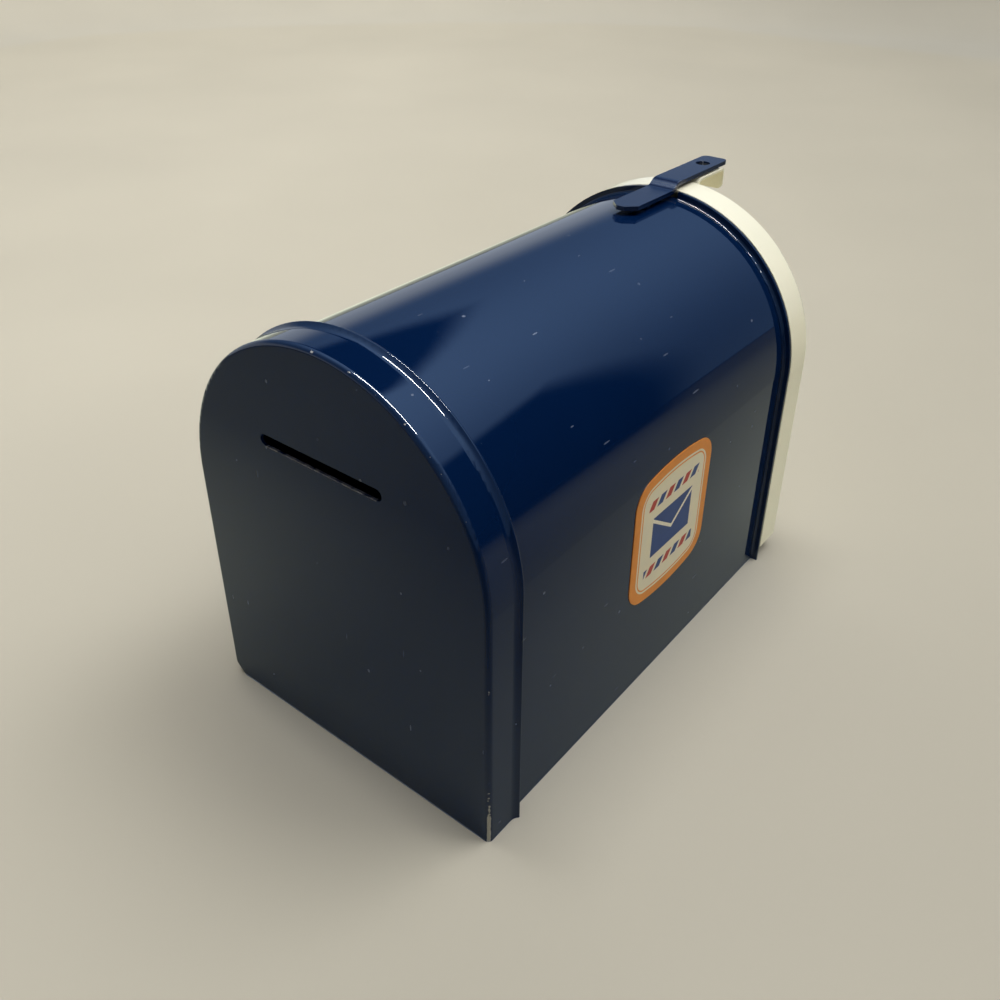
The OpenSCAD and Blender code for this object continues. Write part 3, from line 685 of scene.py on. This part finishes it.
def add_flag(name, corners, material, feather):
    """A flat card that only reflections show, with a soft border of the given share of its size."""
    middle = sum((Vector(corner) for corner in corners), Vector()) / len(corners)
    count = len(corners)
    inner = [middle + (Vector(corner) - middle) * (1 - feather) for corner in corners]
    outer = [middle + (Vector(corner) - middle) * (1 + feather) for corner in corners]
    border = [(i, (i + 1) % count, count + (i + 1) % count, count + i) for i in range(count)]
    mesh = bpy.data.meshes.new(name)
    mesh.from_pydata(inner + outer, [], [tuple(range(count)), *border])
    cover = mesh.attributes.new("cover", "FLOAT", "POINT")
    for i in range(count):
        cover.data[i].value = 1.0
    mesh.materials.append(material)
    card = bpy.data.objects.new(name, mesh)
    bpy.context.scene.collection.objects.link(card)
    card.visible_camera = False
    card.visible_diffuse = False
    card.visible_transmission = False
    card.visible_shadow = False
    return card


class COINBANK_OT_stage(bpy.types.Operator):
    """Set the bank on a sweep of pale paper under soft lamps"""

    bl_idname = "coinbank.stage"
    bl_label = "Studio"

    def execute(self, context):
        studio = context.scene.coinbank_studio
        flat = studio.floor_radius
        profile = [(flat, 0.0)]
        for step in range(1, PAPER_BEND_STEPS + 1):
            turn = math.pi / 2 * step / PAPER_BEND_STEPS
            profile.append((flat + PAPER_BEND * math.sin(turn), PAPER_BEND * (1 - math.cos(turn))))
        profile.append((flat + PAPER_BEND, PAPER_BEND + studio.wall_height))
        sweep = lathe("paper_sweep", profile, PAPER_SIDES)
        sweep.data.materials.append(seamless_paper("seamless background paper", studio.paper))
        sweep.visible_glossy = False

        # A room that the gloss shows with a cool ceiling, brighter overhead and gone beyond the rear panel,
        # and with a pale low wall beyond the flag side. Everything else gets the same warm light from all
        # round, and the camera sees the paper's colour beyond its edge.
        world = bpy.data.worlds.new("daylit room")
        world.use_nodes = True
        tree = world.node_tree
        tree.nodes.clear()
        place = add_node(tree, "ShaderNodeTexCoord")
        upward = add_node(tree, "ShaderNodeVectorMath", {"operation": "DOT_PRODUCT"},
                          {0: place.outputs["Generated"], 1: (-0.1, 0.0, 0.995)})
        height = add_node(tree, "ShaderNodeClamp", None,
                          {"Value": upward.outputs["Value"], "Min": 0.0, "Max": 0.8})
        steep = add_node(tree, "ShaderNodeMath", {"operation": "POWER"},
                         {0: height.outputs[0], 1: 3.0})
        compass = add_node(tree, "ShaderNodeSeparateXYZ", None, {0: place.outputs["Generated"]})
        front = add_node(tree, "ShaderNodeMapRange", {"interpolation_type": "SMOOTHSTEP"},
                         {"Value": compass.outputs["Y"], "From Min": 0.7, "From Max": -0.1,
                          "To Min": 0.0, "To Max": studio.room_bright})
        ceiling = add_node(tree, "ShaderNodeMath", {"operation": "MULTIPLY_ADD"},
                           {0: steep.outputs[0], 1: front.outputs[0], 2: studio.room_dim})
        sky = add_node(tree, "ShaderNodeBackground", None,
                       {"Color": (0.38, 0.61, 1.0, 1.0), "Strength": ceiling.outputs[0]})
        flag_side = add_node(tree, "ShaderNodeMapRange", {"interpolation_type": "SMOOTHSTEP"},
                             {"Value": compass.outputs["X"], "From Min": 0.1, "From Max": 0.6})
        low = add_node(tree, "ShaderNodeMapRange", {"interpolation_type": "SMOOTHSTEP"},
                       {"Value": compass.outputs["Z"], "From Min": 0.35, "From Max": 0.12})
        lit_low = add_node(tree, "ShaderNodeMath", {"operation": "MULTIPLY"},
                           {0: flag_side.outputs[0], 1: low.outputs[0]})
        pale_wall = add_node(tree, "ShaderNodeMath", {"operation": "MULTIPLY"},
                             {0: lit_low.outputs[0], 1: studio.low_wall})
        wall = add_node(tree, "ShaderNodeBackground", None,
                        {"Color": (1.0, 0.97, 0.86, 1.0), "Strength": pale_wall.outputs[0]})
        mirrored = add_node(tree, "ShaderNodeAddShader", None, {0: sky.outputs[0], 1: wall.outputs[0]})
        even = add_node(tree, "ShaderNodeBackground", None,
                        {"Color": (1.0, 0.98, 0.95, 1.0), "Strength": studio.room_fill})
        beyond = add_node(tree, "ShaderNodeBackground", None,
                          {"Color": (*studio.paper, 1.0), "Strength": 0.9})
        ray = add_node(tree, "ShaderNodeLightPath")
        lit = add_node(tree, "ShaderNodeMixShader", None,
                       {0: ray.outputs["Is Glossy Ray"], 1: even.outputs[0], 2: mirrored.outputs[0]})
        room = add_node(tree, "ShaderNodeMixShader", None,
                        {0: ray.outputs["Is Camera Ray"], 1: lit.outputs[0], 2: beyond.outputs[0]})
        add_node(tree, "ShaderNodeOutputWorld", None, {"Surface": room.outputs[0]})
        context.scene.world = world

        # Only the thin glint shows in the gloss, where it draws the bright lines along the cap's folds. The
        # ceiling strip, over the flag side, gives the dark band on the paper along the label side's foot.
        overhead = add_lamp("ceiling strip", (0.33, 0.08, 2.2), (0.33, 0.08, 0.0), 0.85, 0.4,
                            studio.strip_watts, (1.0, 1.0, 0.98))
        overhead.visible_glossy = False
        glint = add_lamp("strip glint", (-0.24, 0.08, 2.19), (-0.24, 0.08, 0.0), 1.7, 0.12,
                         studio.glint_watts, (1.0, 1.0, 1.0))
        glint.visible_diffuse = False
        key = add_lamp("side key", (-0.95, -1.1, 2.85), (0.0, 0.0, 0.05), 1.8, 1.8, studio.key_watts,
                       (1.0, 1.0, 0.99))
        key.visible_glossy = False
        fill = add_lamp("far bounce", (0.9, -0.9, 1.5), (0.4, -0.5, 0.0), 1.2, 1.2, studio.bounce_watts,
                        (1.0, 0.99, 0.97))
        fill.visible_glossy = False

        # Cards that only the gloss shows: a painted reflection of the floor with painted shade, darker than
        # the paper, and painted dark reflections of an unlit corner of the room and of the dark upper part of
        # its far side
        dark = matt_black("painted dark reflection")
        add_flag("painted_floor_reflection", ((-1.0, -1.0, 0.0004), (1.0, -1.0, 0.0004), (1.0, 1.0, 0.0004),
                               (-1.0, 1.0, 0.0004)), painted_floor_reflection_card("grey card of painted floor reflection and shade", studio.card), 0.0)
        add_flag("corner_flag", ((-0.41, -0.48, 0.0), (-0.78, -0.12, 0.0), (-0.78, -0.12, 0.52),
                                 (-0.36, -0.51, 0.5)), dark, 0.12)
        add_flag("upper_flag", ((0.06, -0.7, 1.05), (0.44, -0.7, 0.72), (1.3, -0.7, 0.68), (1.3, -0.7, 2.0),
                                (0.06, -0.7, 2.0)), dark, 0.1)
        return {"FINISHED"}


class COINBANK_OT_camera(bpy.types.Operator):
    """Place the camera at the photograph's viewing angle"""

    bl_idname = "coinbank.camera"
    bl_label = "Camera"

    def execute(self, context):
        studio = context.scene.coinbank_studio
        data = bpy.data.cameras.new("camera")
        data.sensor_width = 36.0
        data.lens = studio.lens
        data.shift_y = studio.shift
        data.clip_start = 0.01
        data.clip_end = 20.0
        around, above, tilt = studio.azimuth, studio.elevation, studio.roll
        back = Vector((math.sin(around) * math.cos(above), -math.cos(around) * math.cos(above),
                       math.sin(above)))
        right = Vector((0, 0, 1)).cross(back).normalized()
        up = back.cross(right)
        tilted_right = math.cos(tilt) * right + math.sin(tilt) * up
        tilted_up = -math.sin(tilt) * right + math.cos(tilt) * up
        turned = Matrix((tilted_right, tilted_up, back)).transposed()
        camera = bpy.data.objects.new("camera", data)
        camera.matrix_world = Matrix.Translation(Vector(studio.camera_place)) @ turned.to_4x4()
        context.scene.collection.objects.link(camera)
        context.scene.camera = camera
        context.scene.view_settings.view_transform = "Standard"
        return {"FINISHED"}


class COINBANK_PT_panel(bpy.types.Panel):
    """The coin bank's pieces and settings"""

    bl_idname = "COINBANK_PT_panel"
    bl_label = "Coin Bank"
    bl_space_type = "VIEW_3D"
    bl_region_type = "UI"
    bl_category = "Coin Bank"

    def draw(self, context):
        for group in (context.scene.coinbank_finish, context.scene.coinbank_studio):
            box = self.layout.box()
            for key in type(group).__annotations__:
                box.prop(group, key)
        for step in STEPS:
            self.layout.operator(step.bl_idname)


STEPS = (COINBANK_OT_camera, COINBANK_OT_stage, COINBANK_OT_navy, COINBANK_OT_cream, COINBANK_OT_flag,
         COINBANK_OT_hardware, COINBANK_OT_sticker)
CLASSES = (COINBANK_PG_finish, COINBANK_PG_studio, *STEPS, COINBANK_PT_panel)


def register():
    """Registers the classes and puts their settings on the scene."""
    for item in CLASSES:
        bpy.utils.register_class(item)
    bpy.types.Scene.coinbank_finish = bpy.props.PointerProperty(type=COINBANK_PG_finish)
    bpy.types.Scene.coinbank_studio = bpy.props.PointerProperty(type=COINBANK_PG_studio)


def unregister():
    """Takes the settings and the classes away again."""
    del bpy.types.Scene.coinbank_studio
    del bpy.types.Scene.coinbank_finish
    for item in reversed(CLASSES):
        bpy.utils.unregister_class(item)


def main():
    register()
    for step in STEPS:
        group, action = step.bl_idname.split(".")
        getattr(getattr(bpy.ops, group), action)()


if __name__ == "__main__":
    main()
